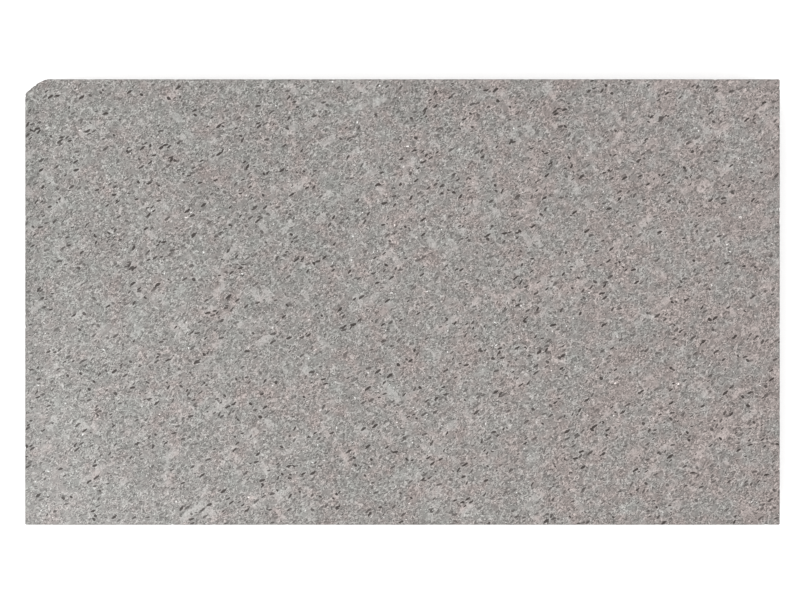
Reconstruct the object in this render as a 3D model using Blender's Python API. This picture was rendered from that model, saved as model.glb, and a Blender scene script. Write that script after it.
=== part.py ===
"""Leatherworker's bench slab: a block of polished granite on four stick-on rubber feet.

Metres, +Z up. The origin is on the bench, under the middle of the slab. X runs along the slab's long
sides and Y along its short ones. Seen from above with +Y at the top, the broken corner is at the top left.
"""

from math import asin, cos, pi, radians, sin

import bmesh
import bpy
from mathutils import Matrix, Vector

# The stone, as it is sawn to size and polished.
SLAB_LENGTH = 0.508
SLAB_WIDTH = 0.300
SLAB_THICKNESS = 0.030
ARRIS_WIDTH = 0.0008  # the small bevel rubbed along each sharp edge

# The broken corner: how far it runs along each side, and how far its face bulges past a straight cut.
BREAK_ALONG_LENGTH = 0.0131
BREAK_ALONG_WIDTH = 0.0094
BREAK_BULGE = 0.00095
BREAK_STEPS = 8

# A rubber foot, widest where it is glued and narrower at the sole that stands on the bench.
FOOT_HEIGHT = 0.006
FOOT_TOP_DIAMETER = 0.025
FOOT_TAPER = 0.0010  # how much smaller the sole's radius is than the glued face's
FOOT_SOLE_ROUNDING = 0.0015
ROUNDING_STEPS = 4
FOOT_INSET = 0.035  # from each side of the slab to the foot's middle

# The disc of foam tape between a foot and the stone.
TAPE_THICKNESS = 0.0008
TAPE_MARGIN = 0.0015  # how far the tape stops short of the foot's edge

CONTACT_GAP = 0.0003  # left between pieces that touch
ROUND_SIDES = 64

# Heights above the bench, each from the piece below it.
TAPE_BOTTOM = FOOT_HEIGHT + CONTACT_GAP
SLAB_BOTTOM = TAPE_BOTTOM + TAPE_THICKNESS + CONTACT_GAP


def clear_scene():
    for old in list(bpy.data.objects):
        bpy.data.objects.remove(old, do_unlink=True)


def plain_material(name, colour, roughness):
    material = bpy.data.materials.new(name)
    material.use_nodes = True
    shader = material.node_tree.nodes["Principled BSDF"]
    shader.inputs["Base Color"].default_value = (*colour, 1.0)
    shader.inputs["Roughness"].default_value = roughness
    shader.inputs["Metallic"].default_value = 0.0
    return material


def object_from(bm, name, material):
    """Turns a finished bmesh into a named object with its material."""
    bmesh.ops.recalc_face_normals(bm, faces=bm.faces)
    mesh = bpy.data.meshes.new(name)
    bm.to_mesh(mesh)
    bm.free()
    mesh.materials.append(material)
    piece = bpy.data.objects.new(name, mesh)
    bpy.context.scene.collection.objects.link(piece)
    return piece


def broken_corner():
    """The arc of the broken corner, from the slab's left side up to its back side."""
    corner = Vector((-SLAB_LENGTH / 2, SLAB_WIDTH / 2))
    start = corner - Vector((0.0, BREAK_ALONG_WIDTH))
    end = corner + Vector((BREAK_ALONG_LENGTH, 0.0))
    chord = end - start
    outward = Vector((-chord.y, chord.x)).normalized()
    radius = chord.length_squared / (8 * BREAK_BULGE) + BREAK_BULGE / 2
    centre = (start + end) / 2 + outward * (BREAK_BULGE - radius)
    half_angle = asin(chord.length / 2 / radius)
    points = []
    for step in range(BREAK_STEPS + 1):
        angle = half_angle * (1 - 2 * step / BREAK_STEPS)
        points.append(centre + Matrix.Rotation(angle, 2) @ outward * radius)
    return points


def granite_slab():
    """The stone: its outline drawn out to its thickness, with an arris along the square edges."""
    half_length = SLAB_LENGTH / 2
    half_width = SLAB_WIDTH / 2
    outline = broken_corner()
    outline.append(Vector((half_length, half_width)))
    outline.append(Vector((half_length, -half_width)))
    outline.append(Vector((-half_length, -half_width)))
    bm = bmesh.new()
    underside = bm.faces.new([bm.verts.new((point.x, point.y, SLAB_BOTTOM)) for point in outline])
    grown = bmesh.ops.extrude_face_region(bm, geom=[underside])
    top = [item for item in grown["geom"] if isinstance(item, bmesh.types.BMVert)]
    bmesh.ops.translate(bm, verts=top, vec=(0.0, 0.0, SLAB_THICKNESS))
    slab = object_from(bm, "granite_slab", plain_material("granite", (0.353, 0.329, 0.314), 0.25))
    arris = slab.modifiers.new("arris", "BEVEL")
    arris.width = ARRIS_WIDTH
    arris.segments = 2
    arris.limit_method = "ANGLE"
    arris.angle_limit = radians(50)
    return slab


def turned_piece(name, profile, material):
    """A round solid about its own vertical axis, from (radius, height) points listed upwards."""
    bm = bmesh.new()
    corners = [bm.verts.new((radius, 0.0, height)) for radius, height in profile]
    edges = [bm.edges.new(pair) for pair in zip(corners, corners[1:])]
    bmesh.ops.spin(
        bm,
        geom=corners + edges,
        cent=(0.0, 0.0, 0.0),
        axis=(0.0, 0.0, 1.0),
        angle=2 * pi,
        steps=ROUND_SIDES,
        use_merge=True,
    )
    rims = [edge for edge in bm.edges if edge.is_boundary]
    bmesh.ops.edgeloop_fill(bm, edges=rims)
    piece = object_from(bm, name, material)
    piece.data.shade_smooth()
    piece.data.set_sharp_from_angle(angle=radians(35))
    return piece


def foot_profile():
    """Up the outside of a foot: the rounded edge of its sole, then its tapering side."""
    top_radius = FOOT_TOP_DIAMETER / 2
    sole_radius = top_radius - FOOT_TAPER
    points = []
    for step in range(ROUNDING_STEPS + 1):
        angle = pi / 2 * step / ROUNDING_STEPS
        across = sole_radius - FOOT_SOLE_ROUNDING * (1 - sin(angle))
        points.append((across, FOOT_SOLE_ROUNDING * (1 - cos(angle))))
    points.append((top_radius, FOOT_HEIGHT))
    return points


def tape_profile():
    """Up the edge of a disc of tape."""
    radius = FOOT_TOP_DIAMETER / 2 - TAPE_MARGIN
    return [(radius, 0.0), (radius, TAPE_THICKNESS)]


def add_feet():
    """A foot and its tape near each corner of the slab."""
    rubber = plain_material("foot_rubber", (0.021, 0.021, 0.022), 0.7)
    tape = plain_material("foam_tape", (0.62, 0.61, 0.58), 0.8)
    across = SLAB_LENGTH / 2 - FOOT_INSET
    along = SLAB_WIDTH / 2 - FOOT_INSET
    for depth_name, y in (("front", -along), ("back", along)):
        for side_name, x in (("left", -across), ("right", across)):
            place = f"{depth_name}_{side_name}"
            foot = turned_piece(f"foot_{place}", foot_profile(), rubber)
            foot.location = (x, y, 0.0)
            disc = turned_piece(f"adhesive_{place}", tape_profile(), tape)
            disc.location = (x, y, TAPE_BOTTOM)


clear_scene()
granite_slab()
add_feet()
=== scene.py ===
"""A leatherworker's granite bench slab: one polished block of stone on four stick-on rubber feet."""

from math import asin, cos, radians, sin

import bmesh
import bpy
from mathutils import Matrix, Vector


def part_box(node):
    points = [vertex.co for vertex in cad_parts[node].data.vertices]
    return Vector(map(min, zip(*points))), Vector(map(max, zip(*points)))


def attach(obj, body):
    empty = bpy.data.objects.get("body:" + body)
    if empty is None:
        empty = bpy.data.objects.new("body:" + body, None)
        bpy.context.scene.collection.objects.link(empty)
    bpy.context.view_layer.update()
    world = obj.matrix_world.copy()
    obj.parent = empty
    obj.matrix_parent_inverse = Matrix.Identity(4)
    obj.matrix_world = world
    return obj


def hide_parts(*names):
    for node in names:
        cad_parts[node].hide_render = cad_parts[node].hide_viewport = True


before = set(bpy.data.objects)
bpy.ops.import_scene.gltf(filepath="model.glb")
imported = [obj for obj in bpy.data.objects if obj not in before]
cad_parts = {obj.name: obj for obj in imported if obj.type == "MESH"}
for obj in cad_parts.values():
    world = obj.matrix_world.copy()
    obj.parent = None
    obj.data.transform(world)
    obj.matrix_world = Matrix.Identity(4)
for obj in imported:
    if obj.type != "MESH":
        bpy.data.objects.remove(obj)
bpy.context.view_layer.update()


# The granite slab is one block of stone, sawn to size from a 30 mm sheet. Its face is polished, its sides and
# back are left from the saw, its sharp edges are rubbed down by hand, and one corner has broken off.
slab_low, slab_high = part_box("granite_slab")
slab_size = slab_high - slab_low
slab_middle = (slab_low + slab_high) / 2
BREAK_ALONG_LENGTH = 0.0131  # how far the broken corner runs along the long side
BREAK_ALONG_WIDTH = 0.0094
BREAK_BULGE = 0.00095  # how far its face stands past a straight cut
BREAK_CUTS = 6
BREAK_DEPTH = 0.0006  # stone this near the broken face takes its relief
BREAK_RIM = 0.0040  # the relief grows to its full depth this far in from the rim of the broken face
ARRIS_WIDTH = 0.0008  # of the small bevel rubbed along each sharp edge
SIDE_ROWS = 30  # rows of faces up each side
LONG_SIDE_STRIPS = 101  # about 5 mm wide each
SHORT_SIDE_STRIPS = 60
STRIP_PARTS = 5  # each strip is cut again into this many
FACE_RINGS = (0.0007, 0.0009, 0.0012)  # widths of the rings of small faces round the face and the back
CHIP_REACH = 0.0024  # how far in from an edge a chip can reach


def select_only(piece):
    """Makes this the one selected and active object."""
    bpy.ops.object.select_all(action="DESELECT")
    piece.select_set(True)
    bpy.context.view_layer.objects.active = piece


def select_where(piece, kind, wanted):
    """Goes into edit mode with only those faces or edges selected that the test picks."""
    bpy.ops.object.mode_set(mode="EDIT")
    bpy.ops.mesh.select_mode(type="FACE" if kind == "faces" else "EDGE")
    bpy.ops.mesh.select_all(action="DESELECT")
    mesh = bmesh.from_edit_mesh(piece.data)
    for item in getattr(mesh, kind):
        if wanted(item):
            item.select_set(True)
    mesh.select_flush_mode()
    bmesh.update_edit_mesh(piece.data)


def run_of(edge):
    """How far an edge goes along X, Y and Z."""
    return Vector([abs(part) for part in edge.verts[1].co - edge.verts[0].co])


def middle_of(edge):
    """The point halfway along an edge."""
    return (edge.verts[0].co + edge.verts[1].co) / 2


def settle(piece):
    """Puts the piece's place into its mesh, and leaves its object at the origin."""
    select_only(piece)
    bpy.ops.object.transform_apply(location=True, rotation=True, scale=True)


# The break follows an arc from the left side up to the back side.
corner = Vector((slab_low.x, slab_high.y, 0.0))
break_start = corner - Vector((0.0, BREAK_ALONG_WIDTH, 0.0))
break_end = corner + Vector((BREAK_ALONG_LENGTH, 0.0, 0.0))
chord = break_end - break_start
chord_outward = Vector((-chord.y, chord.x, 0.0)).normalized()
arc_radius = chord.length_squared / (8 * BREAK_BULGE) + BREAK_BULGE / 2
arc_centre = (break_start + break_end) / 2 + chord_outward * (BREAK_BULGE - arc_radius)
half_angle = asin(chord.length / 2 / arc_radius)


def depth_in_break(spot):
    """How far inside the broken face a point of the stone lies."""
    level = Vector((spot.x, spot.y, 0.0))
    if (level - break_start).dot(chord_outward) < -BREAK_ALONG_WIDTH:
        return 1.0
    return arc_radius - (level - arc_centre).length


def depths(spot):
    """How far a point lies inside each side of the stone, the nearest first."""
    return sorted((
        spot.x - slab_low.x, slab_high.x - spot.x, spot.y - slab_low.y, slab_high.y - spot.y,
        spot.z - slab_low.z, slab_high.z - spot.z, depth_in_break(spot),
    ))


bpy.ops.object.select_all(action="DESELECT")
bpy.ops.mesh.primitive_cube_add(size=1.0, location=slab_middle, scale=slab_size)
slab = bpy.context.object
slab.name = "polished_granite_slab"
settle(slab)
turns = [half_angle * (1 - 2 * step / BREAK_CUTS) for step in range(BREAK_CUTS + 1)]
arc = [arc_centre + Matrix.Rotation(turn, 3, "Z") @ chord_outward * arc_radius for turn in turns]
for first, second in zip(arc, arc[1:]):
    outward = Vector((first.y - second.y, second.x - first.x, 0.0)).normalized()
    select_where(slab, "faces", lambda face: True)
    bpy.ops.mesh.bisect(plane_co=first, plane_no=outward, use_fill=True, clear_outer=True)
    bpy.ops.object.mode_set(mode="OBJECT")
select_where(slab, "edges", lambda edge: edge.calc_face_angle(0.0) > radians(50))
bpy.ops.mesh.bevel(offset=ARRIS_WIDTH, segments=3, affect="EDGES")

# Rings of narrow faces run round the face and the back. Then they and the sides are cut into millimetre
# squares, so that they can be chipped and roughened, and the face and the back are closed again.
select_where(slab, "faces", lambda face: abs(face.normal.z) > 0.99)
for width in FACE_RINGS:
    bpy.ops.mesh.inset(thickness=width)
bpy.ops.mesh.delete(type="ONLY_FACE")
select_where(slab, "edges", lambda edge: run_of(edge).z > slab_size.z / 2)
bpy.ops.mesh.subdivide(number_cuts=SIDE_ROWS - 1)
select_where(slab, "edges", lambda edge: run_of(edge).x > slab_size.x / 2)
bpy.ops.mesh.subdivide(number_cuts=LONG_SIDE_STRIPS - 1)
select_where(slab, "edges", lambda edge: run_of(edge).y > slab_size.y / 2)
bpy.ops.mesh.subdivide(number_cuts=SHORT_SIDE_STRIPS - 1)
strip_length = slab_size.x / LONG_SIDE_STRIPS
select_where(
    slab, "edges",
    lambda edge: 0.9 * strip_length < max(run_of(edge).xy) < 1.1 * strip_length,
)
bpy.ops.mesh.subdivide(number_cuts=STRIP_PARTS - 1)


def along_break(edge):
    """Whether an edge runs along the broken corner's arc."""
    first, second = (depth_in_break(spot.co) for spot in edge.verts)
    return max(first, second) < 0.006 and abs(first - second) < 0.0002 and run_of(edge).xy.length > 0.0012


select_where(slab, "edges", along_break)
bpy.ops.mesh.subdivide(number_cuts=STRIP_PARTS - 1)
for upward in (1, -1):
    select_where(
        slab, "edges",
        lambda edge: edge.is_boundary and upward * (middle_of(edge).z - slab_middle.z) > 0,
    )
    bpy.ops.mesh.edge_face_add()
select_where(
    slab, "faces",
    lambda face: abs(face.normal.z) < 0.5 and depth_in_break(face.calc_center_median()) < 0.0004,
)
bpy.ops.mesh.subdivide(number_cuts=1)
bpy.ops.mesh.select_all(action="SELECT")
bpy.ops.mesh.normals_make_consistent(inside=False)
bpy.ops.object.mode_set(mode="OBJECT")

# Each face takes the finish of its side of the stone.
FINISHES = ("polished_face", "rubbed_edge", "sawn_side", "sawn_back", "broken_corner")


def finish_of(face):
    """Which finish a face has, from where it lies on the stone."""
    centre = face.calc_center_median()
    if depth_in_break(centre) < ARRIS_WIDTH:
        return "broken_corner"
    if depths(centre)[1] < ARRIS_WIDTH:
        return "rubbed_edge"
    if abs(face.normal.z) > 0.9:
        return "polished_face" if face.normal.z > 0 else "sawn_back"
    return "sawn_side"


for number, finish in enumerate(FINISHES):
    slab.data.materials.append(None)
    select_where(slab, "faces", lambda face: finish_of(face) == finish)
    slab.active_material_index = number
    bpy.ops.object.material_slot_assign()
    bpy.ops.object.mode_set(mode="OBJECT")

# Chips can form along the edges. The broken face is roughest in its middle, and its rim stays near the arc.
edge_wear = slab.vertex_groups.new(name="edge_wear")
fracture = slab.vertex_groups.new(name="fracture")
for spot in slab.data.vertices:
    next_near = depths(spot.co)[1]
    wear = 1.0 - max(0.0, next_near - ARRIS_WIDTH) / CHIP_REACH
    if wear > 0.0:
        edge_wear.add([spot.index], wear, "REPLACE")
    if depth_in_break(spot.co) < BREAK_DEPTH:
        fracture.add([spot.index], min(1.0, 0.25 + next_near / BREAK_RIM), "REPLACE")


def displace(piece, name, group, size, strength, middle, stops=None):
    """Moves the mesh in or out by lumps of this size, as far as the vertex group lets it."""
    texture = bpy.data.textures.new(name, "CLOUDS")
    texture.noise_scale = size
    texture.noise_depth = 3
    if stops:
        texture.use_color_ramp = True
        for element, (place, value) in zip(texture.color_ramp.elements, stops):
            element.position = place
            element.color = (value, value, value, 1.0)
    modifier = piece.modifiers.new(name, "DISPLACE")
    modifier.texture = texture
    modifier.texture_coords = "LOCAL"
    modifier.strength = strength
    modifier.mid_level = middle
    modifier.vertex_group = group
    select_only(piece)
    bpy.ops.object.modifier_apply(modifier=name)


displace(slab, "broken_lumps", "fracture", size=0.0062, strength=-0.0026, middle=0.12)
displace(slab, "broken_grains", "fracture", size=0.0014, strength=-0.0008, middle=0.45)
displace(
    slab, "edge_chips", "edge_wear", size=0.0035, strength=-0.0010, middle=0.0,
    stops=((0.64, 0.0), (0.86, 1.0)),
)
displace(slab, "edge_grit", "edge_wear", size=0.0016, strength=-0.00022, middle=0.4)
bpy.ops.object.shade_smooth_by_angle(angle=radians(38))


def shader_node(tree, kind, inputs=None, **options):
    """Adds a node, sets its options, and gives each named input a value or another node's output."""
    made = tree.nodes.new(kind)
    for name, value in options.items():
        setattr(made, name, value)
    for name, value in (inputs or {}).items():
        if isinstance(value, bpy.types.NodeSocket):
            tree.links.new(value, made.inputs[name])
        else:
            made.inputs[name].default_value = value
    return made


def laid_grain(tree, spot, turn, size, shift=0.0):
    """Coordinates in which a grain of this size, turned so many degrees on the slab, measures 1."""
    mapping = shader_node(tree, "ShaderNodeMapping", {"Vector": spot}, vector_type="TEXTURE")
    mapping.inputs["Location"].default_value = (shift, shift / 2, shift / 3)
    mapping.inputs["Rotation"].default_value = (0.0, 0.0, radians(turn))
    mapping.inputs["Scale"].default_value = size
    return mapping.outputs["Vector"]


def grain_cells(tree, spot, feature="F1", distance="EUCLIDEAN", scale=1.0):
    """Cells of grain: round ones, or square ones where the distance is CHEBYCHEV."""
    return shader_node(
        tree, "ShaderNodeTexVoronoi", {"Vector": spot, "Scale": scale}, feature=feature, distance=distance,
    )


def noise(tree, spot, scale, detail=2.0, roughness=0.5):
    """Soft random lumps, so many to the metre."""
    return shader_node(
        tree, "ShaderNodeTexNoise",
        {"Vector": spot, "Scale": scale, "Detail": detail, "Roughness": roughness},
    )


def span(tree, value, low, high, to_low=0.0, to_high=1.0, smooth=True):
    """Maps low..high onto to_low..to_high, and clamps."""
    return shader_node(
        tree, "ShaderNodeMapRange",
        {"Value": value, "From Min": low, "From Max": high, "To Min": to_low, "To Max": to_high},
        interpolation_type="SMOOTHSTEP" if smooth else "LINEAR",
    ).outputs["Result"]


def calc(tree, operation, *values):
    """One step of arithmetic, on numbers or on other nodes' outputs."""
    made = tree.nodes.new("ShaderNodeMath")
    made.operation = operation
    for place, value in enumerate(values):
        if isinstance(value, bpy.types.NodeSocket):
            tree.links.new(value, made.inputs[place])
        else:
            made.inputs[place].default_value = value
    return made.outputs["Value"]


def tint(tree, share, under, over, blend="MIX"):
    """Lays one colour over another by this share."""
    made = tree.nodes.new("ShaderNodeMix")
    made.data_type = "RGBA"
    made.blend_type = blend
    for place, value in ((0, share), (6, under), (7, over)):
        if isinstance(value, bpy.types.NodeSocket):
            tree.links.new(value, made.inputs[place])
        elif place == 0:
            made.inputs[0].default_value = value
        else:
            made.inputs[place].default_value = (*value, 1.0)
    return made.outputs[2]


def separate(tree, colour):
    """Each cell's own colour, split into three random numbers."""
    return shader_node(tree, "ShaderNodeSeparateColor", {"Color": colour}).outputs


def ramp(tree, value, stops):
    """A colour for each value, from these stops."""
    made = shader_node(tree, "ShaderNodeValToRGB", {"Fac": value})
    elements = made.color_ramp.elements
    while len(elements) < len(stops):
        elements.new(0.5)
    for element, (place, colour) in zip(elements, stops):
        element.position = place
        element.color = (*colour, 1.0)
    return made.outputs["Color"]


# The stone's minerals: their colours, and the sizes of their grains as length, width and depth.
BENDS = (0.0028, 0.0013)  # how far the pattern's noise bends the ground's grains, and the flecks
GRAIN_LEAN = 35  # degrees that the larger grains lean from the slab's length
GROUND_LEAN = 38
GROUND_GRAIN = (0.00088, 0.00060, 0.00080)
GROUND_TONES = (
    (0.06, (0.068, 0.062, 0.057)),
    (0.25, (0.111, 0.103, 0.097)),
    (0.55, (0.182, 0.170, 0.161)),
    (0.85, (0.291, 0.273, 0.259)),
    (1.00, (0.480, 0.457, 0.440)),
)
TONE_PATCH = (0.0100, 0.0070, 0.0080)
# Painted highlight: this share of the ground's grains is painted near white as glints.
PAINTED_GLINT_SHARE = 0.0015  # of the ground's grains
PAINTED_GLINT_COLOUR = (0.860, 0.850, 0.830)
QUARTZ_PATCH = (0.0056, 0.0038, 0.0046)
QUARTZ_COLOUR = (0.180, 0.169, 0.160)
CRYSTAL = (0.0060, 0.0040, 0.0050)
SEAM_COLOUR = (0.440, 0.420, 0.405)
FELDSPAR_COLOUR = (0.360, 0.341, 0.328)
LATHS = (  # lean, size, the level above which a cell of the pattern holds a lath, shift
    (38, (0.0140, 0.0056, 0.0090), 0.87, 0.31),
    (-52, (0.0120, 0.0052, 0.0090), 0.91, 0.57),
)
MICA_COLOUR = (0.013, 0.007, 0.004)
MICA_RIM_COLOUR = (0.330, 0.312, 0.300)
FLECKS = (  # lean, size, the share of the pattern's cells that hold a fleck, shift
    (36, (0.0057, 0.0020, 0.0032), 0.110, 0.00),
    (56, (0.0049, 0.0020, 0.0032), 0.080, 0.17),
    (16, (0.0048, 0.0019, 0.0032), 0.065, 0.23),
    (-34, (0.0034, 0.0024, 0.0032), 0.045, 0.43),
)
HUES = (  # from greener to mauve
    (0.52, (0.950, 1.012, 1.004)),
    (0.78, (0.995, 0.998, 1.000)),
    (1.00, (1.058, 0.972, 0.968)),
)
TONE = 0.853
CLOUD_TONE = 0.14
TONE_ALONG = -0.14  # for each metre to the right
TONE_ACROSS = -0.22  # for each metre to the back
LEFT_MARGIN = 0.017  # the stone is a little darker along its left and front edges
FRONT_MARGIN = 0.010


def granite_pattern(tree):
    """The stone itself, running right through the block, as (coordinates, colour, share of mica)."""
    place = tree.nodes.new("ShaderNodeTexCoord").outputs["Object"]
    wobble = noise(tree, place, 520.0)
    bent, nudged = (
        shader_node(
            tree, "ShaderNodeVectorMath",
            {0: wobble.outputs["Color"], 1: (reach, reach, reach), 2: place}, operation="MULTIPLY_ADD",
        ).outputs["Vector"]
        for reach in BENDS
    )

    # Feldspar and quartz, the fine grey ground of the stone. Here and there a grain is painted near white as
    # a glint, a painted highlight.
    ground = grain_cells(tree, laid_grain(tree, bent, GROUND_LEAN, GROUND_GRAIN))
    ground_pick = separate(tree, ground.outputs["Color"])
    patches = noise(tree, laid_grain(tree, place, GRAIN_LEAN, TONE_PATCH), 1.0, 3.0, 0.6)
    level = calc(tree, "MULTIPLY", ground_pick["Red"], 0.89)
    level = calc(tree, "MULTIPLY_ADD", patches.outputs["Fac"], 0.11, level)
    colour = ramp(tree, level, GROUND_TONES)
    # Painted highlight: a few grains are painted near white as glints.
    painted_glint = calc(tree, "GREATER_THAN", ground_pick["Blue"], 1.0 - PAINTED_GLINT_SHARE)
    colour = tint(tree, calc(tree, "MULTIPLY", painted_glint, 0.75), colour, PAINTED_GLINT_COLOUR)

    # Quartz, in patches of a more even grey.
    quartz = grain_cells(tree, laid_grain(tree, bent, GRAIN_LEAN, QUARTZ_PATCH, 0.83))
    quartz_pick = separate(tree, quartz.outputs["Color"])
    evenness = calc(
        tree, "MULTIPLY", span(tree, quartz.outputs["Distance"], 0.62, 0.36),
        span(tree, quartz_pick["Red"], 0.35, 1.0, 0.0, 0.75),
    )
    colour = tint(tree, evenness, colour, QUARTZ_COLOUR)

    # Thin bright seams between larger crystals.
    crystals = grain_cells(tree, laid_grain(tree, bent, GRAIN_LEAN, CRYSTAL, 0.71), "DISTANCE_TO_EDGE")
    seam_breaks = noise(tree, place, 260.0, 1.0)
    seam = calc(
        tree, "MULTIPLY", span(tree, crystals.outputs["Distance"], 0.10, 0.02),
        span(tree, seam_breaks.outputs["Fac"], 0.48, 0.60),
    )
    colour = tint(tree, calc(tree, "MULTIPLY", seam, 0.45), colour, SEAM_COLOUR)

    # Pale laths of feldspar, some faint and some clear, with the ground's grain still in them.
    lath = 0.0
    for turn, size, least, shift in LATHS:
        cells = grain_cells(tree, laid_grain(tree, bent, turn, size, shift), distance="CHEBYCHEV")
        pick = separate(tree, cells.outputs["Color"])
        clearness = span(tree, pick["Green"], least, 1.01, 0.11, 0.84, smooth=False)
        clearness = calc(tree, "MULTIPLY", clearness, calc(tree, "GREATER_THAN", pick["Green"], least))
        body = calc(tree, "MULTIPLY", span(tree, cells.outputs["Distance"], 0.43, 0.35), clearness)
        lath = calc(tree, "MAXIMUM", body, lath)
    lath = calc(tree, "MULTIPLY", lath, span(tree, ground_pick["Green"], 0.0, 0.9, 0.30, 1.0))
    colour = tint(tree, lath, colour, FELDSPAR_COLOUR)

    # Flecks of dark mica, drawn out along the grain, each in a slightly paler rim.
    crowd = noise(tree, place, 45.0, 2.0, 0.6)
    mica, rim = 0.0, 0.0
    for turn, size, share, shift in FLECKS:
        flakes = grain_cells(tree, laid_grain(tree, nudged, turn, size, shift))
        pick = separate(tree, flakes.outputs["Color"])
        reach = span(tree, pick["Blue"], 1.0 - share, 1.0, 0.12, 0.47, smooth=False)
        beyond = calc(tree, "SUBTRACT", flakes.outputs["Distance"], reach)
        darkness = span(tree, pick["Red"], 0.0, 0.7, 0.56, 1.0, smooth=False)
        darkness = calc(tree, "MULTIPLY", darkness, calc(tree, "GREATER_THAN", pick["Blue"], 1.0 - share))
        fleck = calc(tree, "MULTIPLY", span(tree, beyond, 0.04, -0.04), darkness)
        halo = calc(tree, "MULTIPLY", span(tree, beyond, 0.30, 0.06), darkness)
        mica = calc(tree, "MAXIMUM", fleck, mica)
        rim = calc(tree, "MAXIMUM", halo, rim)
    mica = calc(tree, "MULTIPLY", mica, span(tree, crowd.outputs["Fac"], 0.25, 0.50, 0.3, 1.0))
    colour = tint(tree, calc(tree, "MULTIPLY", rim, 0.40), colour, MICA_RIM_COLOUR)
    colour = tint(tree, calc(tree, "MULTIPLY", mica, 0.97), colour, MICA_COLOUR)

    # Slow changes of hue: mauve where mica crowds and to the right, greener to the left.
    across = shader_node(tree, "ShaderNodeSeparateXYZ", {"Vector": place}).outputs
    warmth = noise(tree, place, 75.0, 3.0, 0.6).outputs["Fac"]
    warmth = calc(tree, "MULTIPLY_ADD", crowd.outputs["Fac"], 0.60, warmth)
    warmth = calc(tree, "MULTIPLY_ADD", across["X"], 0.48, warmth)
    colour = tint(tree, 1.0, colour, ramp(tree, warmth, HUES), blend="MULTIPLY")

    # Slow changes of tone: clouds, darker to the right and the back, and the two darker margins.
    clouds = noise(tree, place, 17.0, 2.0, 0.6)
    tone = calc(tree, "MULTIPLY_ADD", clouds.outputs["Fac"], CLOUD_TONE, TONE)
    tone = calc(tree, "MULTIPLY_ADD", across["X"], TONE_ALONG, tone)
    tone = calc(tree, "MULTIPLY_ADD", across["Y"], TONE_ACROSS, tone)
    left = span(tree, across["X"], slab_low.x, slab_low.x + LEFT_MARGIN, 0.90, 1.0)
    front = span(tree, across["Y"], slab_low.y, slab_low.y + FRONT_MARGIN, 0.95, 1.0)
    tone = calc(tree, "MULTIPLY", tone, calc(tree, "MULTIPLY", left, front))
    colour = tint(tree, 1.0, colour, tone, blend="MULTIPLY")
    return place, colour, mica


def new_finish(name, specular=0.5):
    """A new material, as (material, node tree, shader)."""
    material = bpy.data.materials.new(name)
    material.use_nodes = True
    shader = material.node_tree.nodes["Principled BSDF"]
    shader.inputs["Specular IOR Level"].default_value = specular
    return material, material.node_tree, shader


def dent(tree, shader, height, depth):
    """Dents the surface by this height, which at 1 stands this many metres proud."""
    bump = shader_node(tree, "ShaderNodeBump", {"Height": height, "Distance": depth, "Strength": 1.0})
    tree.links.new(bump.outputs["Normal"], shader.inputs["Normal"])


# Painted shade: the dark grey laid over the rubbed edges so that they read as the shaded arris.
PAINTED_EDGE_SHADE = (0.075, 0.066, 0.060)


def polished_granite(name, shine, dull, painted_shade=0.0):
    """Polished stone of roughness shine, its mica a trace lower and of roughness dull. The last argument
    darkens the colour by that share of painted shade, the shade along a rubbed edge.
    """
    material, tree, shader = new_finish(name, 0.40)
    place, colour, mica = granite_pattern(tree)
    # Painted shade darkens the colour along the rubbed edges.
    if painted_shade:
        colour = tint(tree, painted_shade, colour, PAINTED_EDGE_SHADE)
    tree.links.new(colour, shader.inputs["Base Color"])
    haze = noise(tree, place, 14.0, 3.0)
    roughness = span(tree, haze.outputs["Fac"], 0.3, 0.7, shine - 0.02, shine + 0.03)
    roughness = calc(tree, "MULTIPLY_ADD", mica, dull - shine, roughness)
    tree.links.new(roughness, shader.inputs["Roughness"])
    pits = span(tree, noise(tree, place, 900.0, 1.0).outputs["Fac"], 0.66, 0.74, 1.0, 0.0)
    dent(tree, shader, calc(tree, "MULTIPLY_ADD", mica, -0.5, pits), 0.00003)
    return material


# The saw's disc left arcs round its axle, which passed at this height.
SAW_RADIUS = 0.175
SAW_AXLE_HEIGHT = 0.16
SAW_DUST = (0.300, 0.288, 0.277)
SCRATCH_COLOUR = (0.430, 0.418, 0.405)


def sawn_granite(name, along):
    """Stone left from the saw, matt and paler. along gives X's and Y's share in the saw's run."""
    material, tree, shader = new_finish(name, 0.35)
    place, colour, mica = granite_pattern(tree)
    parts = shader_node(tree, "ShaderNodeSeparateXYZ", {"Vector": place}).outputs
    run = calc(tree, "MULTIPLY_ADD", parts["Y"], along[1], calc(tree, "MULTIPLY", parts["X"], along[0]))
    drop = calc(tree, "SUBTRACT", SAW_AXLE_HEIGHT, parts["Z"])
    reach = calc(tree, "SQRT", calc(tree, "SUBTRACT", SAW_RADIUS ** 2, calc(tree, "MULTIPLY", drop, drop)))
    arc = calc(tree, "SUBTRACT", run, reach)
    spot = shader_node(tree, "ShaderNodeCombineXYZ", {"X": arc}).outputs["Vector"]
    lines = noise(tree, spot, 900.0, 2.0, 0.7).outputs["Fac"]
    strokes = noise(tree, spot, 110.0, 2.0).outputs["Fac"]
    crumbs = noise(tree, place, 1600.0, 3.0, 0.7).outputs["Fac"]
    colour = tint(tree, span(tree, crumbs, 0.35, 0.65, 0.20, 0.46), colour, SAW_DUST)
    colour = tint(tree, span(tree, lines, 0.50, 0.68, 0.0, 0.32), colour, SCRATCH_COLOUR)
    tree.links.new(colour, shader.inputs["Base Color"])
    tree.links.new(span(tree, crumbs, 0.3, 0.7, 0.62, 0.86), shader.inputs["Roughness"])
    height = calc(tree, "MULTIPLY_ADD", lines, 0.40, calc(tree, "MULTIPLY", strokes, 0.60))
    dent(tree, shader, calc(tree, "MULTIPLY_ADD", crumbs, 0.55, height), 0.00022)
    return material


BROKEN_CRYSTAL = (0.0011, 0.0009, 0.0010)
BROKEN_LEAN = 20
BRUISE_COLOUR = (0.420, 0.405, 0.392)


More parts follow.
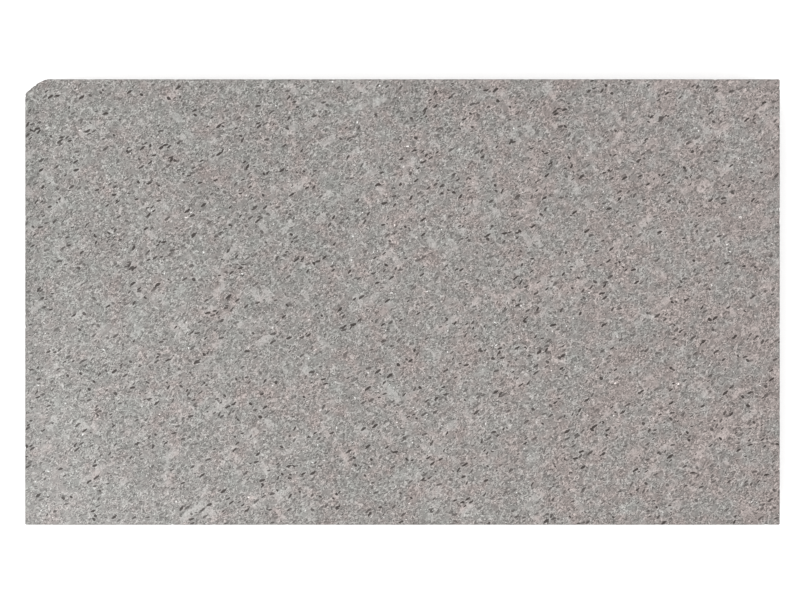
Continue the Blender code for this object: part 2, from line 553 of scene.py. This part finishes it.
def broken_granite():
    """Stone as it broke: rough crystals, each with its own shine, and pale where they are bruised."""
    material, tree, shader = new_finish("broken_granite")
    place, colour, mica = granite_pattern(tree)
    crystals = grain_cells(tree, laid_grain(tree, place, BROKEN_LEAN, BROKEN_CRYSTAL, 0.37))
    pick = separate(tree, crystals.outputs["Color"])
    bruise = noise(tree, place, 700.0, 3.0, 0.65).outputs["Fac"]
    colour = tint(tree, span(tree, bruise, 0.40, 0.66, 0.12, 0.62), colour, BRUISE_COLOUR)
    tree.links.new(colour, shader.inputs["Base Color"])
    tree.links.new(span(tree, pick["Red"], 0.0, 1.0, 0.26, 0.85, smooth=False), shader.inputs["Roughness"])
    height = calc(tree, "MULTIPLY_ADD", crystals.outputs["Distance"], -0.7, bruise)
    dent(tree, shader, calc(tree, "MULTIPLY_ADD", pick["Green"], 0.35, height), 0.00045)
    return material


for slot, material in zip(slab.material_slots, (
    polished_granite("polished_granite", 0.25, 0.40),
    # The rubbed edges' colour takes 0.22 of painted shade.
    polished_granite("rubbed_granite_painted_shade", 0.42, 0.52, 0.22),
    sawn_granite("sawn_granite_sides", (1.0, 1.0)),
    sawn_granite("sawn_granite_back", (0.0, 1.0)),
    broken_granite(),
)):
    slot.material = material
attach(slab, "root")
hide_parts("granite_slab")


# The feet are four bumpers of moulded black rubber, wide where they are stuck on and narrower at the sole.
# The sole is dished, with a grip ring and the stub of the moulding gate in its middle, and a fine line round
# the side shows where the mould's halves met.
PLACES = ("front_left", "front_right", "back_left", "back_right")
ROUND_SIDES = 96
FOOT_TAPER = 0.0010
SOLE_ROUNDING = 0.0015
TOP_ROUNDING = 0.0003
MOULD_LINE_HEIGHT = 0.72  # as a share of the foot's height
MOULD_LINE_HALF_WIDTH = 0.00012
MOULD_LINE_PROUD = 0.00009
SOLE_RINGS = (  # from the rim inwards: the width of each ring, and how far its inner edge rises into the foot
    (0.0021, 0.0),
    (0.0002, 0.00045),
    (0.0007, 0.0),
    (0.0002, -0.00045),
    (0.0014, 0.0),
    (0.0005, 0.00060),
    (0.0038, 0.00025),
    (0.0003, -0.00035),
)
SAME_HEIGHT = 0.00001  # heights closer than this count as one
RUBBER_TONES = ((0.35, (0.014, 0.014, 0.015)), (0.70, (0.034, 0.034, 0.035)))
DUST_COLOUR = (0.150, 0.145, 0.138)


def resize_round(middle, across):
    """Makes what is selected wider or narrower about this middle."""
    bpy.ops.transform.resize(value=(across, across, 1.0), center_override=middle)


def level_with(height):
    """A test for edges that lie level at this height."""
    return lambda edge: abs(middle_of(edge).z - height) < SAME_HEIGHT and run_of(edge).z < SAME_HEIGHT


def round_blank(name, low, high, radius):
    """A plain disc or cylinder from low to high, to shape further."""
    bpy.ops.object.select_all(action="DESELECT")
    bpy.ops.mesh.primitive_cylinder_add(
        vertices=ROUND_SIDES, radius=radius, depth=high.z - low.z, end_fill_type="NGON",
        location=(low + high) / 2,
    )
    blank = bpy.context.object
    blank.name = name
    settle(blank)
    return blank


def cut_level(piece, middle, height):
    """Cuts a level ring of edges round the piece, and selects it."""
    select_where(piece, "faces", lambda face: True)
    bpy.ops.mesh.bisect(plane_co=(middle.x, middle.y, height), plane_no=(0.0, 0.0, 1.0))
    select_where(piece, "edges", level_with(height))


def moulded_rubber():
    """Black rubber with the fine grain of its mould, grey bloom in patches and specks of dust."""
    material, tree, shader = new_finish("moulded_black_rubber", 0.42)
    place = tree.nodes.new("ShaderNodeTexCoord").outputs["Object"]
    bloom = noise(tree, place, 160.0, 3.0, 0.6).outputs["Fac"]
    grain = grain_cells(tree, place, scale=2600.0).outputs["Distance"]
    dust = noise(tree, place, 1500.0, 2.0, 0.7).outputs["Fac"]
    colour = ramp(tree, bloom, RUBBER_TONES)
    colour = tint(tree, span(tree, dust, 0.62, 0.74, 0.0, 0.30), colour, DUST_COLOUR)
    tree.links.new(colour, shader.inputs["Base Color"])
    tree.links.new(span(tree, bloom, 0.3, 0.7, 0.52, 0.74), shader.inputs["Roughness"])
    dent(tree, shader, calc(tree, "MULTIPLY_ADD", dust, 0.4, grain), 0.00006)
    return material


def moulded_foot(name, low, high):
    """A foot that fills the space from low to high."""
    middle = (low + high) / 2
    height = high.z - low.z
    radius = (high.x - low.x) / 2
    foot = round_blank(name, low, high, radius)
    select_where(foot, "faces", lambda face: face.normal.z < -0.9)
    resize_round(middle, 1.0 - FOOT_TAPER / radius)
    select_where(foot, "edges", level_with(low.z))
    bpy.ops.mesh.bevel(offset=SOLE_ROUNDING, segments=6, affect="EDGES")
    select_where(foot, "edges", level_with(high.z))
    bpy.ops.mesh.bevel(offset=TOP_ROUNDING, segments=2, affect="EDGES")
    line_height = low.z + height * MOULD_LINE_HEIGHT
    cut_level(foot, middle, line_height - MOULD_LINE_HALF_WIDTH)
    cut_level(foot, middle, line_height + MOULD_LINE_HALF_WIDTH)
    cut_level(foot, middle, line_height)
    resize_round(middle, 1.0 + MOULD_LINE_PROUD / radius)

    # Only the flat of the sole looks straight down: the strips of its rounding all lean a little.
    select_where(foot, "faces", lambda face: face.normal.z < -0.999)
    for width, rise in SOLE_RINGS:
        bpy.ops.mesh.inset(thickness=width)
        bpy.ops.transform.translate(value=(0.0, 0.0, rise))
    bpy.ops.mesh.select_all(action="SELECT")
    bpy.ops.mesh.normals_make_consistent(inside=False)
    bpy.ops.object.mode_set(mode="OBJECT")
    bpy.ops.object.shade_smooth_by_angle(angle=radians(35))
    foot.data.materials.append(moulded_rubber())
    return foot


def copy_beside(piece, name, move):
    """Another piece like this one, with its own mesh, moved by this much."""
    select_only(piece)
    bpy.ops.object.duplicate(linked=False)
    copy = bpy.context.object
    copy.name = name
    copy.location = move
    settle(copy)
    return copy


first_low, first_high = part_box("foot_front_left")
first_foot = moulded_foot("rubber_foot_front_left", first_low, first_high)
for place in PLACES:
    foot = first_foot
    if place != PLACES[0]:
        foot = copy_beside(first_foot, f"rubber_foot_{place}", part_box(f"foot_{place}")[0] - first_low)
    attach(foot, "root")
    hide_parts(f"foot_{place}")


# A die-cut disc of double-sided foam tape holds each foot: closed-cell foam, squeezed so that its edge
# bulges, between two thin films of adhesive that reach the stone and the rubber.
FILM_INSET = 0.0002
FILM_CLEARANCE = 0.00002
TAPE_BULGE = 0.00012
BULGE_CUTS = (0.12, 0.30, 0.50, 0.70, 0.88)  # as shares of the foam's thickness
FOAM_TONES = ((0.10, (0.430, 0.420, 0.395)), (0.60, (0.680, 0.672, 0.645)))
FOAM_GRIME = (0.330, 0.315, 0.285)
FILM_TONES = ((0.30, (0.440, 0.415, 0.340)), (0.70, (0.560, 0.540, 0.470)))


def foam():
    """Off-white foam whose cut edge shows its cells, a little grubby from handling."""
    material, tree, shader = new_finish("closed_cell_foam", 0.25)
    place = tree.nodes.new("ShaderNodeTexCoord").outputs["Object"]
    cells = grain_cells(tree, place, scale=5200.0).outputs["Distance"]
    grime = noise(tree, place, 260.0, 3.0, 0.6).outputs["Fac"]
    colour = ramp(tree, cells, FOAM_TONES)
    colour = tint(tree, span(tree, grime, 0.50, 0.80, 0.0, 0.35), colour, FOAM_GRIME)
    tree.links.new(colour, shader.inputs["Base Color"])
    shader.inputs["Roughness"].default_value = 0.85
    dent(tree, shader, cells, 0.00008)
    return material


def film():
    """Acrylic adhesive, a little yellow, with uneven strings where it was pressed down."""
    material, tree, shader = new_finish("acrylic_adhesive_film")
    place = tree.nodes.new("ShaderNodeTexCoord").outputs["Object"]
    strings = noise(tree, place, 1900.0, 2.0, 0.6).outputs["Fac"]
    colour = ramp(tree, strings, FILM_TONES)
    tree.links.new(colour, shader.inputs["Base Color"])
    tree.links.new(span(tree, strings, 0.3, 0.7, 0.18, 0.42), shader.inputs["Roughness"])
    dent(tree, shader, strings, 0.00006)
    return material


def foam_disc(name, low, high, bottom, top):
    """The foam from low to high, with its films down to bottom and up to top."""
    middle = (low + high) / 2
    radius = (high.x - low.x) / 2 - TAPE_BULGE
    disc = round_blank(name, low, high, radius)
    for share in BULGE_CUTS:
        cut_level(disc, middle, low.z + (high.z - low.z) * share)
        resize_round(middle, 1.0 + TAPE_BULGE / radius * 4 * share * (1 - share))
    for upward, reach in ((1, top - FILM_CLEARANCE - high.z), (-1, bottom + FILM_CLEARANCE - low.z)):
        select_where(disc, "faces", lambda face: upward * face.normal.z > 0.99)
        bpy.ops.mesh.inset(thickness=FILM_INSET)
        bpy.ops.mesh.extrude_region_move(TRANSFORM_OT_translate={"value": (0.0, 0.0, reach)})
    bpy.ops.mesh.select_all(action="SELECT")
    bpy.ops.mesh.normals_make_consistent(inside=False)
    bpy.ops.object.mode_set(mode="OBJECT")
    disc.data.materials.append(foam())
    disc.data.materials.append(film())
    select_where(disc, "faces", lambda face: not low.z < face.calc_center_median().z < high.z)
    disc.active_material_index = 1
    bpy.ops.object.material_slot_assign()
    bpy.ops.object.mode_set(mode="OBJECT")
    bpy.ops.object.shade_smooth_by_angle(angle=radians(35))
    return disc


tape_low, tape_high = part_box("adhesive_front_left")
first_disc = foam_disc("foam_tape_disc_front_left", tape_low, tape_high, first_high.z, slab_low.z)
for place in PLACES:
    disc = first_disc
    if place != PLACES[0]:
        disc = copy_beside(first_disc, f"foam_tape_disc_{place}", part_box(f"adhesive_{place}")[0] - tape_low)
    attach(disc, "root")
    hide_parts(f"adhesive_{place}")


# The stage is a floor of matt white paper in a white room. Four square lamps stand round the slab, and the
# two at the left are the brighter ones.
FLOOR_SIZE = 12.0
PAPER_COLOUR = (0.93, 0.93, 0.93, 1.0)
ROOM_LIGHT = 1.04
bpy.ops.object.select_all(action="DESELECT")
bpy.ops.mesh.primitive_plane_add(size=FLOOR_SIZE, location=(0.0, 0.0, 0.0))
floor = bpy.context.object
floor.name = "studio_floor"
paper, _, paper_shader = new_finish("white_paper", 0.0)
paper_shader.inputs["Base Color"].default_value = PAPER_COLOUR
paper_shader.inputs["Roughness"].default_value = 0.9
floor.data.materials.append(paper)

scene = bpy.context.scene
scene.view_settings.view_transform = "Standard"
scene.world = bpy.data.worlds.new("white_room")
scene.world.use_nodes = True
room = scene.world.node_tree.nodes["Background"]
room.inputs["Color"].default_value = (1.0, 1.0, 1.0, 1.0)
room.inputs["Strength"].default_value = ROOM_LIGHT


def softbox(name, direction, elevation, distance, size, power):
    """A square lamp that faces the slab, so many degrees clockwise from the back and up from the floor."""
    lamp = bpy.data.lights.new(name, "AREA")
    lamp.shape = "SQUARE"
    lamp.size = size
    lamp.energy = power
    holder = bpy.data.objects.new(name, lamp)
    scene.collection.objects.link(holder)
    across = cos(radians(elevation)) * distance
    up = sin(radians(elevation)) * distance
    holder.location = (sin(radians(direction)) * across, cos(radians(direction)) * across, up)
    holder.rotation_euler = (-holder.location).to_track_quat("-Z", "Y").to_euler()


softbox("lamp_back_left", -45, 46, distance=2.6, size=1.9, power=22.0)
softbox("lamp_front_right", 135, 36, distance=2.4, size=1.8, power=17.0)
softbox("lamp_back_right", 50, 60, distance=2.4, size=1.2, power=6.0)
softbox("lamp_front_left", -130, 60, distance=2.4, size=1.2, power=19.0)

# The camera looks straight down, so far off that the slab's sides stay out of view.
LENS = 85.0
SENSOR = 36.0
SLAB_SHARE = 0.938  # of the picture's width that the slab takes up
camera = bpy.data.objects.new("camera", bpy.data.cameras.new("camera"))
scene.collection.objects.link(camera)
camera.data.lens = LENS
camera.data.sensor_width = SENSOR
field = slab_size.x / SLAB_SHARE
camera.location = (0.0, 0.0, slab_high.z + field * LENS / SENSOR)
scene.camera = camera
